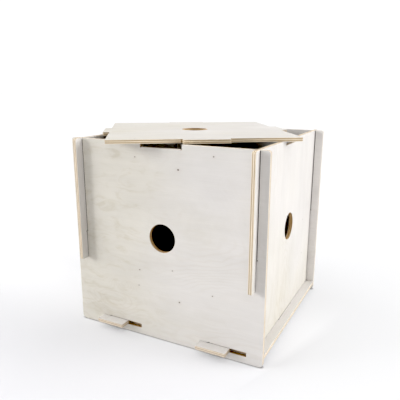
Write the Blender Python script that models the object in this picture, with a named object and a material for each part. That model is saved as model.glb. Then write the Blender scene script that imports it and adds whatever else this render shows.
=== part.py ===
"""Knock-down plywood box with a loose lid: six flat boards that slot into each other.

Metres, +Z up. The origin is on the floor under the middle of the lid, which lies turned
on top of the walls. The front panel faces -Y. The front and back panels stand on the floor,
the two sides drop into their slots from above, and the base is hooked into both of them.
Wherever two boards touch, a small gap is left between them, and the walls' half slots are a
little wider than the board, so that the box goes together by hand.
"""

import math

import bmesh
import bpy
from mathutils import Vector

# Driving dimensions.
PLY = 0.008                 # thickness of every board
HEIGHT = 0.400              # floor to the top edge of the walls
BODY = 0.384                # outer face to outer face of opposite walls, both ways
OVERLAP = 0.018             # how far each board runs on past the wall it crosses
GAP = 0.0003                # clearance wherever two boards touch
PLAY = 0.0010               # clearance on each face of a wall in its half slot
HOOK_ROOM = 0.0005          # clearance over the hooks in their slots
CUTTER_RADIUS = 0.00125     # router bit: reliefs in the inner corners, ends of slots
LAP_HEIGHT = 0.206          # where the half slots of two crossing walls meet
PRONG_END = 0.148           # lower end of the side panels' prongs
TOP_CORNER_RADIUS = 0.005
FOOT_CORNER_RADIUS = 0.0075
BASE_HEIGHT = 0.014         # floor to the underside of the base
HOLE_RADIUS = 0.0285        # finger holes in the walls and the lid
HOLE_HEIGHT = 0.217         # floor to the middle of the walls' finger holes
TAB_WIDTH = 0.088           # straight tabs of the sides and the lid
NOTCH_WIDTH = 0.0892        # notches in the walls' top edges, for the lid's tabs
NOTCH_DEPTH = 0.009
HOOK_TAB_WIDTH = 0.063      # hooked tabs of the base
HOOK_REACH = 0.019          # how far each hook reaches to the left of its slot
HOOK_LENGTH = 0.0205        # how far the hooks stand out of the outer faces
HOOK_PITCH = 0.232
HOOK_SHIFT = -0.0035        # middle of each pair of hooked tabs, from the box's middle
HOOK_SLOT_LENGTH = 0.078
HOOK_CORNER_RADIUS = 0.0012
TAB_CORNER_RADIUS = 0.003
LID_SIZE = 0.366            # square of the lid without its tabs
LID_TAB_LENGTH = 0.014
LID_ANGLE = math.radians(34.5)
BOX_OFFSET = (0.031, -0.002)    # middle of the box, from the middle of the lid

# Sizes that follow from them.
RELIEF = 2 * CUTTER_RADIUS          # width of a relief along the edge that it is cut in
FACE_OUT = BODY / 2                 # a wall's outer face
FACE_IN = FACE_OUT - PLY            # a wall's inner face
SLOT_OUT = FACE_OUT + PLAY          # outer side of a half slot that a wall drops into
SLOT_IN = FACE_IN - PLAY            # inner side of the same slot
BASE_EDGE = FACE_IN - GAP           # the base's straight edges, inside the front and the back
HOOK_EDGE = FACE_OUT + GAP          # the side of its hooks that bears on their outer faces
HOOK_OUT = FACE_OUT + HOOK_LENGTH   # outermost edge of the hooks
REACH = FACE_OUT + OVERLAP          # half of every board's full width
BASE_TOP = BASE_HEIGHT + PLY
HOOK_TIPS = [HOOK_SHIFT + side * HOOK_PITCH / 2 - HOOK_TAB_WIDTH / 2 for side in (-1, 1)]

ARC_STEPS = 8               # steps in a rounded corner and in a relief
HOLE_STEPS = 72


def relief(start, end):
    """Half circle from start to end, cut into the wood on the left of that way."""
    start = Vector(start)
    end = Vector(end)
    middle = (start + end) / 2
    along = (end - start) / 2
    left = Vector((-along.y, along.x))
    angles = [math.pi * step / ARC_STEPS for step in range(ARC_STEPS + 1)]
    return [middle - math.cos(angle) * along + math.sin(angle) * left for angle in angles]


def rounded(corner, before, after, radius):
    """Quarter circle in a square corner, between the points before and after it."""
    corner = Vector(corner)
    first = (Vector(before) - corner).normalized() * radius
    last = (Vector(after) - corner).normalized() * radius
    centre = corner + first + last
    angles = [math.pi / 2 * step / ARC_STEPS for step in range(ARC_STEPS + 1)]
    return [centre - math.cos(angle) * last - math.sin(angle) * first for angle in angles]


def mirrored(points):
    """The same run on the other side of the board's middle line, walked the other way."""
    return [Vector((-point[0], point[1])) for point in reversed(points)]


def round_hole(centre, radius):
    """Clockwise circle, as every hole is walked."""
    turns = [-2 * math.pi * step / HOLE_STEPS for step in range(HOLE_STEPS)]
    return [Vector((centre[0] + radius * math.cos(turn), centre[1] + radius * math.sin(turn)))
            for turn in turns]


def half_slot_end(first, second, end, back):
    """Blind end of a slot with a relief in both corners; back leads towards its mouth."""
    return relief((first, end + back), (first, end)) + relief((second, end), (second, end + back))


def top_notch():
    """Notch in a wall's top edge, walked from right to left, with reliefs in its floor."""
    half = NOTCH_WIDTH / 2
    floor = HEIGHT - NOTCH_DEPTH
    right = [Vector((half, HEIGHT))] + relief((half, floor), (half - RELIEF, floor))
    return right + mirrored(right)


def hook_slot(left):
    """Slot for a hooked tab: reliefs at the left end, corners as the cutter leaves them at the right."""
    right = left + HOOK_SLOT_LENGTH
    low = BASE_HEIGHT - GAP
    high = BASE_TOP + HOOK_ROOM
    top = relief((left, high), (left + RELIEF, high))
    top += rounded((right, high), (left, high), (right, low), CUTTER_RADIUS)
    bottom = rounded((right, low), (right, high), (left, low), CUTTER_RADIUS)
    bottom += relief((left + RELIEF, low), (left, low))
    return top + bottom


def front_outline():
    """Front and back panel: stands on the floor, half slots from above for the sides."""
    right = rounded((REACH, 0), (0, 0), (REACH, HEIGHT), FOOT_CORNER_RADIUS)
    right += rounded((REACH, HEIGHT), (REACH, 0), (0, HEIGHT), TOP_CORNER_RADIUS)
    right.append(Vector((SLOT_OUT, HEIGHT)))
    right += half_slot_end(SLOT_OUT, SLOT_IN, LAP_HEIGHT, RELIEF)
    right.append(Vector((SLOT_IN, HEIGHT)))
    outline = right + top_notch() + mirrored(right)
    hook_slots = [hook_slot(tip + HOOK_REACH) for tip in HOOK_TIPS]
    return outline, hook_slots + [round_hole((0, HOLE_HEIGHT), HOLE_RADIUS)]


def side_outline():
    """Left and right side: a bottom tab, and prongs that hook over the front and the back."""
    tab = TAB_WIDTH / 2
    foot = BASE_TOP + GAP
    lap = LAP_HEIGHT + GAP
    right = rounded((tab, BASE_HEIGHT), (0, BASE_HEIGHT), (tab, foot), CUTTER_RADIUS / 2)
    right += [Vector((tab, foot)), Vector((SLOT_IN, foot))]
    right += half_slot_end(SLOT_IN, SLOT_OUT, lap, -RELIEF)
    right.append(Vector((SLOT_OUT, PRONG_END)))
    right += rounded((REACH, PRONG_END), (SLOT_OUT, PRONG_END), (REACH, HEIGHT), TAB_CORNER_RADIUS)
    right += rounded((REACH, HEIGHT), (REACH, 0), (0, HEIGHT), TOP_CORNER_RADIUS)
    return right + top_notch() + mirrored(right), [round_hole((0, HOLE_HEIGHT), HOLE_RADIUS)]


def hooked_tab(tip):
    """One hooked tab on the front edge of the base, walked from left to right."""
    neck = tip + HOOK_REACH + GAP
    left = tip + GAP
    right = tip + HOOK_TAB_WIDTH
    edge = relief((neck - RELIEF, -BASE_EDGE), (neck, -BASE_EDGE))
    edge += relief((neck, -HOOK_EDGE), (neck - RELIEF, -HOOK_EDGE))
    edge += rounded((left, -HOOK_EDGE), (neck, -HOOK_EDGE), (left, -HOOK_OUT), HOOK_CORNER_RADIUS)
    edge += rounded((left, -HOOK_OUT), (left, 0), (right, -HOOK_OUT), HOOK_CORNER_RADIUS)
    edge += rounded((right, -HOOK_OUT), (left, -HOOK_OUT), (right, 0), HOOK_CORNER_RADIUS)
    edge += relief((right, -BASE_EDGE), (right + RELIEF, -BASE_EDGE))
    return edge


def side_tab_slot(inner, outer):
    """Slot in the base for a side's tab, with reliefs in the long edges at both ends."""
    half = TAB_WIDTH / 2 + GAP
    near = relief((inner, -half), (inner, -half + RELIEF)) + relief((inner, half - RELIEF), (inner, half))
    far = relief((outer, half), (outer, half - RELIEF)) + relief((outer, -half + RELIEF), (outer, -half))
    return near + far


def base_outline():
    """Base: lies between front and back, hooks through both, and runs on past the sides."""
    front = [point for tip in HOOK_TIPS for point in hooked_tab(tip)]
    corner = rounded((REACH, -BASE_EDGE), (0, -BASE_EDGE), (REACH, 0), TAB_CORNER_RADIUS)
    front = mirrored(corner) + front + corner
    back = [Vector((point.x, -point.y)) for point in reversed(front)]
    inner = FACE_IN - GAP
    outer = FACE_OUT + GAP
    slots = [side_tab_slot(inner, outer), side_tab_slot(-outer, -inner)]
    return front + back, slots


def lid_outline():
    """Lid: a square plate with the same tab in the middle of all four edges."""
    edge = LID_SIZE / 2
    tab = TAB_WIDTH / 2
    end = edge + LID_TAB_LENGTH
    right = rounded((tab, -end), (0, -end), (tab, 0), TAB_CORNER_RADIUS)
    right += relief((tab, -edge), (tab + RELIEF, -edge))
    one_side = mirrored(right) + right
    one_side += rounded((edge, -edge), (0, -edge), (edge, 0), CUTTER_RADIUS / 2)
    outline = []
    for quarter in range(4):
        turn = quarter * math.pi / 2
        outline += [Vector((point.x * math.cos(turn) - point.y * math.sin(turn),
                            point.x * math.sin(turn) + point.y * math.cos(turn))) for point in one_side]
    return outline, [round_hole((0, 0), HOLE_RADIUS)]


def board_mesh(name, outline, holes):
    """Board of the given outline, PLY thick, with its middle plane at local z = 0."""
    mesh = bmesh.new()
    for loop in [outline] + holes:
        corners = [mesh.verts.new((point.x, point.y, -PLY / 2)) for point in loop]
        for index, corner in enumerate(corners):
            mesh.edges.new((corners[index - 1], corner))
    bmesh.ops.triangle_fill(mesh, edges=mesh.edges, use_beauty=True, normal=(0, 0, -1))
    raised = bmesh.ops.extrude_face_region(mesh, geom=mesh.faces[:], use_keep_orig=True)
    top = [item for item in raised["geom"] if isinstance(item, bmesh.types.BMVert)]
    bmesh.ops.translate(mesh, verts=top, vec=(0, 0, PLY))
    bmesh.ops.recalc_face_normals(mesh, faces=mesh.faces)
    data = bpy.data.meshes.new(name)
    mesh.to_mesh(data)
    mesh.free()
    return data


def plywood(name, colour):
    """Pale, sanded, unvarnished plywood."""
    material = bpy.data.materials.new(name)
    material.use_nodes = True
    shader = material.node_tree.nodes["Principled BSDF"]
    shader.inputs["Base Color"].default_value = (*colour, 1)
    shader.inputs["Roughness"].default_value = 0.6
    shader.inputs["Metallic"].default_value = 0
    return material


def place(name, mesh, location, rotation, colour, parent=None):
    """One board as an object of its own, with its own material."""
    board = bpy.data.objects.new(name, mesh)
    bpy.context.collection.objects.link(board)
    board.location = location
    board.rotation_euler = rotation
    board.parent = parent
    if not mesh.materials:
        mesh.materials.append(None)
    board.material_slots[0].link = "OBJECT"
    board.material_slots[0].material = plywood(name + "_plywood", colour)
    return board


def build():
    for old in list(bpy.data.objects):
        bpy.data.objects.remove(old)

    box = bpy.data.objects.new("box_frame", None)
    bpy.context.collection.objects.link(box)
    box.location = (*BOX_OFFSET, 0)

    upright = math.pi / 2
    wall_middle = FACE_OUT - PLY / 2
    front = board_mesh("front_board", *front_outline())
    side = board_mesh("side_board", *side_outline())
    base = board_mesh("base_board", *base_outline())
    lid = board_mesh("lid_board", *lid_outline())

    place("front_panel", front, (0, -wall_middle, 0), (upright, 0, 0), (0.74, 0.70, 0.65), box)
    place("back_panel", front, (0, wall_middle, 0), (upright, 0, 0), (0.74, 0.70, 0.65), box)
    place("left_side", side, (-wall_middle, 0, 0), (upright, 0, upright), (0.80, 0.77, 0.71), box)
    place("right_side", side, (wall_middle, 0, 0), (upright, 0, upright), (0.80, 0.77, 0.71), box)
    place("base", base, (0, 0, BASE_HEIGHT + PLY / 2), (0, 0, 0), (0.76, 0.71, 0.66), box)
    place("lid", lid, (0, 0, HEIGHT + GAP + PLY / 2), (0, 0, LID_ANGLE), (0.80, 0.77, 0.72))


build()
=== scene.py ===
"""Looks of the knock-down plywood box: whitewashed boards with visible ply edges.

Every board is rebuilt from the outline of its CAD node, with eased arrises and a worn,
layered edge, and stands for that node. Metres, +Z up, in the row's own frame.
"""

import math
import random

import bmesh
import bpy
from mathutils import Matrix, Vector


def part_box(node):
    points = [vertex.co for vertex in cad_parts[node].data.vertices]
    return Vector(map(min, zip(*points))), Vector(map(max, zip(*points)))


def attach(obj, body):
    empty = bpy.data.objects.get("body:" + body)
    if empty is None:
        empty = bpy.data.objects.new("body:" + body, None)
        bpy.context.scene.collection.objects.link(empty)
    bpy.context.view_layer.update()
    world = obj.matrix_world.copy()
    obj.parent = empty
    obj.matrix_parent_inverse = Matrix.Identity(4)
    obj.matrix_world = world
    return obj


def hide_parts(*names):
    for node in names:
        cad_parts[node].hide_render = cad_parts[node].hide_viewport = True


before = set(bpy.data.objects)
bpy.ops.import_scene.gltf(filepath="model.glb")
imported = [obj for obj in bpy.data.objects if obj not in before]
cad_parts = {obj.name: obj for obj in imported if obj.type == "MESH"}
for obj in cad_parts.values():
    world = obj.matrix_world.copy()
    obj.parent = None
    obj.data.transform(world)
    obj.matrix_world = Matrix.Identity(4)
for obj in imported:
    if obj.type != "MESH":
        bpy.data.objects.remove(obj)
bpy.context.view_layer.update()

# The box as it lies in the frame.
FRONT_LOW, FRONT_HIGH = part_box("front_panel")
PLY = FRONT_HIGH.y - FRONT_LOW.y                # thickness of every board
HALF = PLY / 2
BOX_MIDDLE = (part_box("base")[0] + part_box("base")[1]) / 2

# Edges of the boards.
ARRIS = 0.00045             # radius of the sanded edges
ARRIS_STEPS = 3
FACE_PLY = 0.0014           # the two outer veneers
CROSS_PLY = 0.0016          # the veneers next to them
RECESS = 0.00008            # how far the softer cross plies stand back
STEP = 0.00006              # half the height of the slope between two plies
SMOOTH_UP_TO = math.radians(35)
LONG_EDGE = 0.03            # a straight edge this long tells how a board is turned

# Wood.
PEEL = 0.262                # turn of the log: knots come back at this distance across the grain
RING_PACE = 300.0           # how fast the ring pattern turns with the figure's field
EYE_HEIGHT = 0.13           # hump of the figure's field at an eye
EYE_ROUNDNESS = 0.5         # width over length, along the grain
KNOT_ROUNDNESS = 0.8
RING_STRENGTH = 0.17        # how much of the ring colour the rings show
FLAME_STRENGTH = 0.38       # the same for the flames, where the veneer is warmest
HALO_STRENGTH = 0.12        # and for the stained wood round a knot
UNEVEN = 0.00018            # how far the glue lines wander
GLUE_WIDTH = 0.00016        # half the width of a glue line, faded
PLY_BLUR = 0.00012          # half the width of the fade between two plies
COOL_FACE = (0.655, 0.632, 0.610)
WARM_FACE = (0.632, 0.604, 0.542)
FLAME_COLOUR = (0.48, 0.43, 0.32)
RING_COLOUR = (0.45, 0.37, 0.28)
HALO_COLOUR = (0.44, 0.37, 0.31)
KNOT_COLOUR = (0.13, 0.10, 0.08)
EDGE_LIGHT = (0.77, 0.675, 0.52)
EDGE_DARK = (0.44, 0.32, 0.20)
GLUE_COLOUR = (0.22, 0.14, 0.08)
CUT_TINT = (0.95, 0.78, 0.58)       # the bare, browner wood in holes and slots, and the painted warm shade on enclosed outer edges
RUBBED_COLOUR = (0.71, 0.665, 0.60)
BUMP_DEPTH = 0.0002

# Floor.
FLOOR_RADIUS = 30.0
FLOOR_DROP = 0.0003         # it lies this far below the boards, clear of them
PAPER_DARK = (0.722, 0.720, 0.742)
PAPER_LIGHT = (0.735, 0.733, 0.755)
PAPER_GLOWING = (0.300, 0.300, 0.308)   # where its own glow makes it white
GLOW = 0.60
FOOT_GLOW_LOSS = 0.07       # it glows less round the box's foot
# Where the paper changes, from no change to the full change, in Y, in X or as a distance.
FADE_BEHIND = (-0.60, 0.15)
GLOW_BEHIND = (-0.51, 0.02)
BESIDE = (0.13, 0.34)
DISTANT = (1.0, 2.5)
ROUND_FOOT = (0.60, 0.20)

# Painted shade in dark places: how far to look for other boards, the share of open room at
# which a place is darkest, the share at which it is fully light, and how light the darkest is.
PAINTED_JOINT_SHADE = (0.004, 0.15, 0.50, 0.10)        # painted shade in the joints between boards
PAINTED_SLOT_SHADE = (0.012, 0.15, 0.65, 0.30)   # painted shade on cut edges that face each other
PAINTED_INNER_SHADE = (0.40, 0.05, 0.20, 0.25)        # painted shade on inner faces with boards all round them
PAINTED_FOOT_SHADOW = (0.006, 0.45, 0.85, 0.45)     # painted shadow on the floor along the feet
PAINTED_UNDER_BASE_SHADOW = (0.06, 0.05, 0.14, 0.05)   # painted shadow on the floor under the base

# Each board: its body, the way out of its better face, and the way that its grain runs.
# Warmth is how yellow the veneer is in the board's middle, from 0 to 1, and how much that
# grows for each metre along and across. Washed is how much of the whitewash is on its edges,
# and painted_lightness how much lighter its faces are painted than the others', as painted light, 1 where
# it isn't given.
# Knots and the figure's eyes are (along, across, radius).
BOARDS = {
    "front_panel": dict(
        body="carcass", outward=(0, -1, 0), grain=(1, 0, 0), warmth=(0.50, -2.2, 0.2), washed=0.28,
        knots=[(-0.057, 0.171, 0.0011), (0.037, 0.154, 0.0017), (0.108, 0.183, 0.0012),
               (-0.054, -0.057, 0.0012), (0.022, -0.045, 0.0010)],
        eyes=[(-0.098, -0.095, 0.024), (-0.128, -0.145, 0.045)]),
    "back_panel": dict(
        body="carcass", outward=(0, 1, 0), grain=(1, 0, 0), warmth=(0.15, -0.5, 0.0), washed=0.60,
        # Painted light: the back panel's faces are painted lighter, for the light on its strip beside the
        # right side.
        painted_lightness=1.12,
        knots=[(-0.120, 0.120, 0.0013), (0.060, 0.150, 0.0016), (0.140, 0.040, 0.0010)],
        eyes=[(0.100, -0.060, 0.060)]),
    "left_side": dict(
        body="left_wall", outward=(-1, 0, 0), grain=(0, 0, 1), warmth=(0.40, -1.0, 0.5), washed=0.15,
        knots=[(0.110, 0.090, 0.0012), (-0.060, 0.060, 0.0015)],
        eyes=[(0.050, -0.080, 0.070)]),
    "right_side": dict(
        body="right_wall", outward=(1, 0, 0), grain=(0, 0, 1), warmth=(0.25, -2.0, 0.6), washed=0.10,
        knots=[(-0.005, 0.150, 0.0009), (-0.090, 0.140, 0.0010)],
        eyes=[(-0.120, 0.040, 0.080)]),
    "base": dict(
        body="carcass", outward=(0, 0, -1), grain=(0, 1, 0), warmth=(0.05, 0.0, 0.0), washed=0.20,
        knots=[(0.080, 0.050, 0.0014)],
        eyes=[(-0.060, -0.050, 0.060)]),
    "lid": dict(
        body="top", outward=(0, 0, 1), grain=(1, 0, 0), warmth=(0.35, -1.0, 0.0), washed=0.00,
        knots=[(-0.130, 0.090, 0.0010)],
        eyes=[(-0.080, 0.020, 0.070)]),
}

# Camera, from the middle of the box on the floor.
CAMERA_PLACE = (0.4448, -0.9002, 0.5041)
CAMERA_TURN = math.radians(27.15)
CAMERA_TILT = math.radians(14.17)
CAMERA_ROLL = math.radians(0.10)
LENS = 41.23
SENSOR = 36.0

# Light: name, azimuth from the front towards the right side, elevation and apparent width,
# all in degrees, and strength.
LIGHTS = [
    ("key", -50, 18, 16, 0.8),
    ("key_fill", -60, 12, 30, 1.3),
    ("front", 35, 36, 40, 0.7),
    ("side", 105, 12, 24, 1.3),
    ("side_back", 112, 20, 26, 0.92),
    ("rim", 180, 12, 24, 0.5),
    ("left", 270, 15, 40, 1.5),
    ("top", 120, 45, 40, 0.4),
    ("overhead", 0, 90, 60, 1.45),
]
SURROUND = 0.20
BLACK_POINT = 0.05


# ---------------------------------------------------------------- meshes

def outer_face_loops(node, outward):
    """The outline and the holes of a board's outer face: runs of points with the wood on their left."""
    mesh = bmesh.new()
    mesh.from_mesh(node.data)
    bmesh.ops.remove_doubles(mesh, verts=mesh.verts, dist=1e-6)
    mesh.normal_update()
    face = dict.fromkeys(part for part in mesh.faces if part.normal.dot(outward) > 0.99)
    following = {}
    for part in face:
        for corner in part.loops:
            if corner.link_loop_radial_next.face not in face:
                following[corner.vert] = corner.link_loop_next.vert
    loops = []
    while following:
        first = next(iter(following))
        run = []
        point = first
        while point in following:
            run.append(point.co.copy())
            point = following.pop(point)
        loops.append(run)
    mesh.free()
    return loops


def board_place(node, loops, outward, grain):
    """Matrix of the board: x along the grain, y across it, z out of its outer face; from its middle."""
    low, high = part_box(node)
    edges = [run[index] - run[index - 1] for run in loops for index in range(len(run))]
    straight = [edge.normalized() for edge in edges if edge.length > LONG_EDGE]
    along = max(straight, key=lambda edge: edge.dot(grain))
    across = outward.cross(along)
    turn = Matrix((along, across, outward)).transposed().to_4x4()
    return Matrix.Translation((low + high) / 2) @ turn


def inward(run, index, outward):
    """Direction into the wood at a point of a run; its length keeps both edges at unit distance."""
    before = (run[index] - run[index - 1]).normalized()
    after = (run[(index + 1) % len(run)] - run[index]).normalized()
    first = outward.cross(before)
    second = outward.cross(after)
    return (first + second) / max(0.4, 1 + first.dot(second))


def edge_profile():
    """Rings of a board's edge from its outer face inwards: how far in, and how far below the face."""
    turns = [math.pi / 2 * step / ARRIS_STEPS for step in range(ARRIS_STEPS + 1)]
    rings = [(ARRIS * (1 - math.sin(turn)), ARRIS * (1 - math.cos(turn))) for turn in turns]
    glue_line = FACE_PLY
    rings += [(0, glue_line - STEP), (RECESS, glue_line + STEP)]
    glue_line += CROSS_PLY
    rings += [(RECESS, glue_line - STEP), (0, glue_line + STEP)]
    return rings + [(inset, PLY - below) for inset, below in reversed(rings)]


def turned_inward(run, outward):
    """Whether a run goes round a hole: the wood lies on its left, so it turns against the face."""
    area = sum((run[index - 1].cross(run[index]) for index in range(len(run))), Vector())
    return area.dot(outward) < 0


def board_mesh(name, loops, outward):
    """Closed board with eased arrises and stepped plies; its attribute "cut" is 1 in holes and slots."""
    mesh = bmesh.new()
    cut = mesh.faces.layers.float.new("cut")
    profile = edge_profile()
    caps = ([], [])
    for run in loops:
        inside = turned_inward(run, outward)
        ways = [inward(run, index, outward) for index in range(len(run))]
        rings = []
        for inset, below in profile:
            points = [point + way * inset - outward * below for point, way in zip(run, ways)]
            rings.append([mesh.verts.new(point) for point in points])
        for upper, lower in zip(rings, rings[1:]):
            for index in range(len(run)):
                part = mesh.faces.new((upper[index - 1], lower[index - 1], lower[index], upper[index]))
                part[cut] = 1.0 if inside else 0.0
        for cap, ring in zip(caps, (rings[0], rings[-1])):
            cap += [mesh.edges.get((ring[index - 1], ring[index])) for index in range(len(run))]
    for cap in caps:
        bmesh.ops.triangle_fill(mesh, edges=cap, use_beauty=True)
    bmesh.ops.recalc_face_normals(mesh, faces=mesh.faces)
    for part in mesh.faces:
        part.smooth = True
    for edge in mesh.edges:
        edge.smooth = edge.calc_face_angle(0) < SMOOTH_UP_TO
    for edge in caps[0] + caps[1]:
        edge.smooth = False
    data = bpy.data.meshes.new(name)
    mesh.to_mesh(data)
    mesh.free()
    return data


# ---------------------------------------------------------------- materials

class Graph:
    """The nodes of one material. Every call adds nodes and returns an output socket."""

    def __init__(self, name):
        self.material = bpy.data.materials.new(name)
        self.material.use_nodes = True
        self.tree = self.material.node_tree
        self.shader = self.tree.nodes["Principled BSDF"]

    def feed(self, socket, value):
        if isinstance(value, bpy.types.NodeSocket):
            self.tree.links.new(value, socket)
        else:
            socket.default_value = value

    def node(self, kind, inputs=(), **settings):
        made = self.tree.nodes.new(kind)
        for setting, value in settings.items():
            setattr(made, setting, value)
        for socket, value in inputs:
            self.feed(made.inputs[socket], value)
        return made

    def math(self, operation, *values):
        return self.node("ShaderNodeMath", enumerate(values), operation=operation).outputs[0]

    def stretch(self, vector, scale, shift=(0, 0, 0)):
        """The vector times scale, plus shift."""
        inputs = [("Vector", vector), ("Scale", scale), ("Location", shift)]
        return self.node("ShaderNodeMapping", inputs, vector_type="POINT").outputs[0]

    def noise(self, vector, detail=2.0, roughness=0.5, distortion=0.0):
        inputs = [("Vector", vector), ("Scale", 1.0), ("Detail", detail),
                  ("Roughness", roughness), ("Distortion", distortion)]
        return self.node("ShaderNodeTexNoise", inputs, noise_dimensions="3D").outputs[0]

    def step(self, value, low, high, start=0.0, end=1.0):
        """Smooth step from start to end as value goes from low to high."""
        inputs = [("Value", value), ("From Min", low), ("From Max", high),
                  ("To Min", start), ("To Max", end)]
        return self.node("ShaderNodeMapRange", inputs, interpolation_type="SMOOTHSTEP").outputs[0]

    def scale(self, value, low, high, start, end):
        """Straight line from start to end as value goes from low to high."""
        inputs = [("Value", value), ("From Min", low), ("From Max", high),
                  ("To Min", start), ("To Max", end)]
        return self.node("ShaderNodeMapRange", inputs, interpolation_type="LINEAR").outputs[0]

    def mix(self, amount, first, second, blend="MIX"):
        """Colour mix; a colour is a socket or three numbers."""
        colours = [(*value, 1) if isinstance(value, tuple) else value for value in (first, second)]
        inputs = [(0, amount), (6, colours[0]), (7, colours[1])]
        made = self.node("ShaderNodeMix", inputs, data_type="RGBA", blend_type=blend)
        return made.outputs[2]

    def open_room(self, reach):
        """Share of the directions over a point in which nothing lies within reach."""
        inputs = [("Distance", reach)]
        return self.node("ShaderNodeAmbientOcclusion", inputs, samples=8).outputs["AO"]

    def darkness(self, reach, low, high, darkest):
        """1 in the open, down to darkest where only the low share of the room is open."""
        return self.scale(self.open_room(reach), low, high, darkest, 1.0)

    def shade(self, colour, value):
        """The colour times a single value."""
        grey = self.node("ShaderNodeCombineColor", [(0, value), (1, value), (2, value)]).outputs[0]
        return self.mix(1.0, colour, grey, "MULTIPLY")


def oval_distance(graph, spot, oval, roundness):
    """Distance from an oval's middle in its radii; roundness is its width over its length."""
    along, across, radius = oval
    size = Vector((roundness / radius, 1 / radius, 0))
    sized = graph.stretch(spot, size, (-size.x * along, -size.y * across, 0))
    return graph.node("ShaderNodeVectorMath", [(0, sized)], operation="LENGTH").outputs["Value"]


def knot_mark(graph, spot, knots):
    """(dark middle, soft halo) of the nearest knot, both 0 to 1."""
    everywhere = knots + [(along, across - PEEL, radius * 0.9) for along, across, radius in knots]
    nearest = None
    for knot in everywhere:
        away = oval_distance(graph, spot, knot, KNOT_ROUNDNESS)
        nearest = away if nearest is None else graph.math("MINIMUM", nearest, away)
    return graph.step(nearest, 1.25, 0.6), graph.step(nearest, 5.0, 0.5)


def eye_field(graph, spot, eyes):
    """Low humps in the figure's field, so that the rings close into ovals round each eye."""
    total = 0.0
    for eye in eyes:
        away = oval_distance(graph, spot, eye, EYE_ROUNDNESS)
        total = graph.math("ADD", total, graph.step(away, 1.0, 0.0, 0.0, EYE_HEIGHT))
    return total


def face_finish(graph, spot, seed, warmth, painted_lightness, knots, eyes):
    """(colour, height) of the whitewashed face veneer."""
    draw = random.Random(seed)
    shift = [tuple(draw.uniform(-9, 9) for axis in range(3)) for layer in range(7)]

    # Growth rings of a peeled veneer: contour lines of a smooth field drawn out along the grain.
    field = graph.noise(graph.stretch(spot, (2.2, 7.0, 1), shift[0]), 1.0, 0.4)
    wobble = graph.noise(graph.stretch(spot, (25, 55, 1), shift[1]), 2.0)
    field = graph.math("ADD", field, graph.math("MULTIPLY", wobble, 0.034))
    humps = eye_field(graph, spot, eyes)
    turns = graph.math("SINE", graph.math("MULTIPLY", graph.math("ADD", field, humps), RING_PACE))
    rings = graph.math("POWER", graph.scale(turns, -1, 1, 0, 1), 3.0)
    shown = graph.step(graph.noise(graph.stretch(spot, (4, 7, 1), shift[2]), 1.0), 0.50, 0.70, 0.1, 0.6)
    shown = graph.math("ADD", shown, graph.step(humps, 0.0, EYE_HEIGHT * 0.3, 0.0, 0.5))
    rings = graph.math("MULTIPLY", rings, shown)

    # Fibres, broader streaks and cloudy patches.
    flames = graph.noise(graph.stretch(spot, (17, 42, 1), shift[0]), 5.0, 0.62, 1.6)
    fibres = graph.noise(graph.stretch(spot, (18, 620, 1), shift[3]), 3.0, 0.6)
    streaks = graph.noise(graph.stretch(spot, (5, 60, 1), shift[4]), 2.0, 0.6)
    clouds = graph.noise(graph.stretch(spot, (9, 14, 1), shift[5]), 3.0)
    casts = graph.noise(graph.stretch(spot, (6, 7, 1), shift[6]), 1.0)

    middle, along, across = warmth
    inputs = [(0, spot), (1, (along, across, 0))]
    slope = graph.node("ShaderNodeVectorMath", inputs, operation="DOT_PRODUCT").outputs["Value"]
    casts = graph.scale(casts, 0.3, 0.7, middle - 0.2, middle + 0.2)
    yellow = graph.math("ADD", slope, casts)
    colour = graph.mix(graph.step(yellow, 0.0, 1.0), COOL_FACE, WARM_FACE)
    strength = graph.step(yellow, 0.3, 0.9, 0.05, FLAME_STRENGTH)
    flames = graph.math("MULTIPLY", graph.step(flames, 0.46, 0.72), strength)
    colour = graph.mix(flames, colour, FLAME_COLOUR)
    colour = graph.shade(colour, graph.scale(clouds, 0.3, 0.7, 0.96, 1.03))
    colour = graph.shade(colour, graph.scale(streaks, 0.3, 0.7, 0.975, 1.015))
    colour = graph.shade(colour, graph.scale(fibres, 0.25, 0.75, painted_lightness * 0.98, painted_lightness * 1.02))
    colour = graph.mix(graph.math("MULTIPLY", rings, RING_STRENGTH), colour, RING_COLOUR)
    knot, halo = knot_mark(graph, spot, knots)
    colour = graph.mix(graph.math("MULTIPLY", halo, HALO_STRENGTH), colour, HALO_COLOUR)
    colour = graph.mix(graph.math("MULTIPLY", knot, 0.9), colour, KNOT_COLOUR)

    height = graph.math("MULTIPLY", fibres, 0.5)
    height = graph.math("ADD", height, graph.math("MULTIPLY", rings, -0.2))
    height = graph.math("SUBTRACT", height, knot)
    return colour, height


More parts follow.
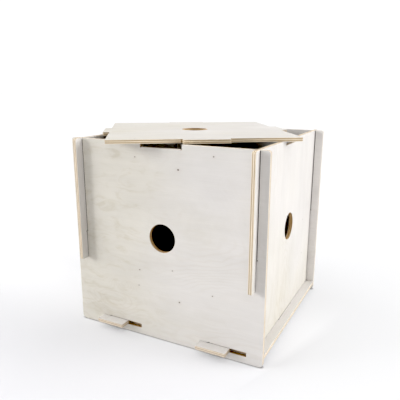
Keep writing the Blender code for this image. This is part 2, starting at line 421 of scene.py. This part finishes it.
def edge_finish(graph, spot, across_cut, seed, washed):
    """(colour, height) of the cut edge: five plies, whose end grain is the darker.

    The whitewash covers a share of the outer edges. Holes and slots stay bare; enclosed outer edges
    get the bare tint as a painted warm shade, and cut edges that face each other get painted shade.
    """
    draw = random.Random(seed + 100)
    shift = [tuple(draw.uniform(-9, 9) for axis in range(3)) for layer in range(3)]
    depth = graph.node("ShaderNodeSeparateXYZ", [(0, spot)]).outputs["Z"]
    waves = graph.noise(graph.stretch(spot, (90, 90, 30), shift[0]), 2.0)
    waves = graph.scale(waves, 0, 1, -UNEVEN, UNEVEN)
    depth = graph.math("ABSOLUTE", graph.math("ADD", depth, waves))

    outer = HALF - FACE_PLY
    inner = outer - CROSS_PLY
    below_face = graph.step(depth, outer + PLY_BLUR, outer - PLY_BLUR)
    in_core = graph.step(depth, inner + PLY_BLUR, inner - PLY_BLUR)
    cross_ply = graph.math("SUBTRACT", below_face, in_core)
    end_grain = graph.math("ABSOLUTE", graph.math("SUBTRACT", cross_ply, across_cut))

    pores = graph.noise(graph.stretch(spot, (900, 900, 1500), shift[1]), 3.0, 0.6)
    patches = graph.noise(graph.stretch(spot, (25, 25, 250), shift[2]), 2.0)
    colour = graph.mix(end_grain, EDGE_LIGHT, EDGE_DARK)
    colour = graph.shade(colour, graph.scale(patches, 0.3, 0.7, 0.88, 1.1))
    colour = graph.shade(colour, graph.scale(pores, 0.3, 0.7, 0.9, 1.08))
    away = graph.math("ABSOLUTE", graph.math("SUBTRACT", depth, outer))
    glue = graph.step(away, GLUE_WIDTH, GLUE_WIDTH / 4)
    colour = graph.mix(graph.math("MULTIPLY", glue, 0.5), colour, GLUE_COLOUR)

    cut_out = graph.node("ShaderNodeAttribute", attribute_name="cut").outputs["Fac"]
    # Holes are bare wood. Outer edges with little open room round them get the same bare tint as a
    # painted warm shade.
    bare_and_shaded = graph.math("MAXIMUM", cut_out, graph.step(graph.open_room(PAINTED_SLOT_SHADE[0]), 0.7, 0.4))
    wash = graph.math("MULTIPLY", graph.math("SUBTRACT", 1.0, bare_and_shaded), washed)
    wash = graph.math("MULTIPLY", wash, graph.scale(patches, 0.3, 0.7, 1.1, 0.9))
    colour = graph.mix(wash, colour, COOL_FACE)
    colour = graph.mix(bare_and_shaded, colour, graph.mix(1.0, colour, CUT_TINT, "MULTIPLY"))
    # Painted shade on cut edges that face each other.
    colour = graph.shade(colour, graph.darkness(*PAINTED_SLOT_SHADE))
    return colour, graph.math("MULTIPLY", pores, 0.6)


def plywood(name, place, seed, facts):
    """Whitewashed plywood, laid out by the board's own place: veneer on the faces, plies on the edges."""
    graph = Graph(name)
    coordinates = graph.node("ShaderNodeTexCoord")
    inputs = [("Vector", coordinates.outputs["Object"]), ("Location", place.translation),
              ("Rotation", place.to_euler())]
    spot = graph.node("ShaderNodeMapping", inputs, vector_type="TEXTURE").outputs[0]
    grain = place.to_3x3().col[0]
    inputs = [(0, coordinates.outputs["Normal"]), (1, grain)]
    facing = graph.node("ShaderNodeVectorMath", inputs, operation="DOT_PRODUCT").outputs["Value"]
    across_cut = graph.step(graph.math("ABSOLUTE", facing), 0.6, 0.8)

    looks = facts["warmth"], facts.get("painted_lightness", 1.0), facts["knots"], facts["eyes"]
    face, face_height = face_finish(graph, spot, seed, *looks)
    edge, edge_height = edge_finish(graph, spot, across_cut, seed, facts["washed"])
    depth = graph.node("ShaderNodeSeparateXYZ", [(0, spot)]).outputs["Z"]
    on_face = graph.step(graph.math("ABSOLUTE", depth), HALF - ARRIS * 0.6, HALF - ARRIS * 0.2)
    better_side = graph.step(depth, -0.001, 0.001)
    # Painted shade on the inner faces, darkest where boards are all round them; the outer faces keep
    # their colour.
    inner_shade = graph.math("MAXIMUM", graph.darkness(*PAINTED_INNER_SHADE), better_side)
    colour = graph.mix(on_face, edge, graph.shade(face, inner_shade))

    # The whitewash is rubbed thin on the arrises.
    rubbed = graph.step(graph.math("ABSOLUTE", depth), HALF - ARRIS * 2.0, HALF - ARRIS)
    rubbed = graph.math("MULTIPLY", rubbed, graph.math("SUBTRACT", 1.0, on_face))
    colour = graph.mix(graph.math("MULTIPLY", rubbed, 0.7), colour, RUBBED_COLOUR)

    # Painted shade in the joints between boards.
    colour = graph.shade(colour, graph.darkness(*PAINTED_JOINT_SHADE))

    face_part = graph.math("MULTIPLY", on_face, face_height)
    edge_part = graph.math("MULTIPLY", graph.math("SUBTRACT", 1.0, on_face), edge_height)
    height = graph.math("ADD", face_part, edge_part)
    inputs = [("Strength", 0.35), ("Distance", BUMP_DEPTH), ("Height", height)]
    bump = graph.node("ShaderNodeBump", inputs).outputs[0]
    graph.feed(graph.shader.inputs["Base Color"], colour)
    graph.feed(graph.shader.inputs["Roughness"], graph.scale(face_height, -0.2, 0.5, 0.72, 0.58))
    graph.feed(graph.shader.inputs["Normal"], bump)
    graph.shader.inputs["Specular IOR Level"].default_value = 0.35
    return graph.material


# ---------------------------------------------------------------- boards

def make_board(name, facts, seed):
    outward = Vector(facts["outward"])
    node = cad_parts[name]
    loops = outer_face_loops(node, outward)
    place = board_place(name, loops, outward, Vector(facts["grain"]))
    piece = bpy.data.objects.new(name + "_board", board_mesh(name + "_board", loops, outward))
    bpy.context.collection.objects.link(piece)
    piece.data.materials.append(plywood(name + "_plywood", place, seed, facts))
    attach(piece, facts["body"])
    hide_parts(name)


# ---------------------------------------------------------------- stage

def floor_paper():
    """Matt paper. It glows, so that it is plain white behind the box, on its right and far from it."""
    graph = Graph("floor_paper")
    spot = graph.node("ShaderNodeTexCoord").outputs["Object"]
    parts = graph.node("ShaderNodeSeparateXYZ", [(0, spot)])
    far = graph.node("ShaderNodeVectorMath", [(0, spot)], operation="LENGTH").outputs["Value"]
    beside = graph.step(parts.outputs["X"], *BESIDE)
    beside_or_distant = graph.math("MAXIMUM", beside, graph.step(far, *DISTANT))

    white = graph.math("MAXIMUM", graph.step(parts.outputs["Y"], *FADE_BEHIND), beside_or_distant)
    clouds = graph.noise(graph.stretch(spot, (3, 3, 3)), 2.0)
    paper = graph.mix(white, graph.mix(clouds, PAPER_DARK, PAPER_LIGHT), PAPER_GLOWING)

    glow = graph.math("MAXIMUM", graph.step(parts.outputs["Y"], *GLOW_BEHIND), beside_or_distant)
    loss = graph.step(far, *ROUND_FOOT, 0.0, FOOT_GLOW_LOSS)
    glow = graph.math("SUBTRACT", graph.math("MULTIPLY", glow, GLOW), loss)
    glow = graph.math("MAXIMUM", glow, 0.0)

    # Painted shadows on the floor along the feet and under the base, on its colour and on its glow.
    shadow = graph.math("MULTIPLY", graph.darkness(*PAINTED_FOOT_SHADOW), graph.darkness(*PAINTED_UNDER_BASE_SHADOW))
    graph.feed(graph.shader.inputs["Base Color"], graph.shade(paper, shadow))
    graph.feed(graph.shader.inputs["Emission Strength"], graph.math("MULTIPLY", glow, shadow))
    graph.shader.inputs["Emission Color"].default_value = (1, 1, 1, 1)
    graph.shader.inputs["Roughness"].default_value = 0.8
    graph.shader.inputs["Specular IOR Level"].default_value = 0.1
    return graph.material


def make_floor():
    mesh = bmesh.new()
    bmesh.ops.create_circle(mesh, cap_ends=True, segments=64, radius=FLOOR_RADIUS)
    data = bpy.data.meshes.new("floor")
    mesh.to_mesh(data)
    mesh.free()
    data.materials.append(floor_paper())
    floor = bpy.data.objects.new("floor", data)
    floor.location = (0, 0, -FLOOR_DROP)
    bpy.context.collection.objects.link(floor)


def make_light():
    """Big soft lights from far away, and an even white surround."""
    for name, azimuth, elevation, width, strength in LIGHTS:
        light = bpy.data.lights.new(name, "SUN")
        light.energy = strength
        light.angle = math.radians(width)
        lamp = bpy.data.objects.new(name, light)
        bpy.context.collection.objects.link(lamp)
        turn = Matrix.Rotation(math.radians(azimuth), 4, "Z")
        lamp.rotation_euler = (turn @ Matrix.Rotation(math.radians(90 - elevation), 4, "X")).to_euler()

    world = bpy.data.worlds.new("studio")
    bpy.context.scene.world = world
    world.use_nodes = True
    nodes = world.node_tree.nodes
    links = world.node_tree.links
    backdrop = nodes["Background"]
    backdrop.inputs["Color"].default_value = (1, 1, 1, 1)
    backdrop.inputs["Strength"].default_value = 1.1
    fill = nodes.new("ShaderNodeBackground")
    fill.inputs["Color"].default_value = (1, 1, 1, 1)
    fill.inputs["Strength"].default_value = SURROUND
    seen = nodes.new("ShaderNodeLightPath")
    choose = nodes.new("ShaderNodeMixShader")
    links.new(seen.outputs["Is Camera Ray"], choose.inputs[0])
    links.new(fill.outputs[0], choose.inputs[1])
    links.new(backdrop.outputs[0], choose.inputs[2])
    links.new(choose.outputs[0], nodes["World Output"].inputs["Surface"])


def set_tone():
    """Plain display of the colours, with deep shadows printed black."""
    view = bpy.context.scene.view_settings
    view.view_transform = "Standard"
    view.use_curve_mapping = True
    view.curve_mapping.black_level = (BLACK_POINT,) * 3
    view.curve_mapping.update()


def make_camera():
    data = bpy.data.cameras.new("camera")
    data.lens = LENS
    data.sensor_width = SENSOR
    camera = bpy.data.objects.new("camera", data)
    bpy.context.collection.objects.link(camera)
    camera.location = Vector((BOX_MIDDLE.x, BOX_MIDDLE.y, 0)) + Vector(CAMERA_PLACE)
    turn = Matrix.Rotation(CAMERA_TURN, 4, "Z") @ Matrix.Rotation(math.pi / 2 - CAMERA_TILT, 4, "X")
    camera.rotation_euler = (turn @ Matrix.Rotation(CAMERA_ROLL, 4, "Z")).to_euler()
    bpy.context.scene.camera = camera


make_camera()
for seed, (name, facts) in enumerate(BOARDS.items()):
    make_board(name, facts, seed)
make_floor()
make_light()
set_tone()
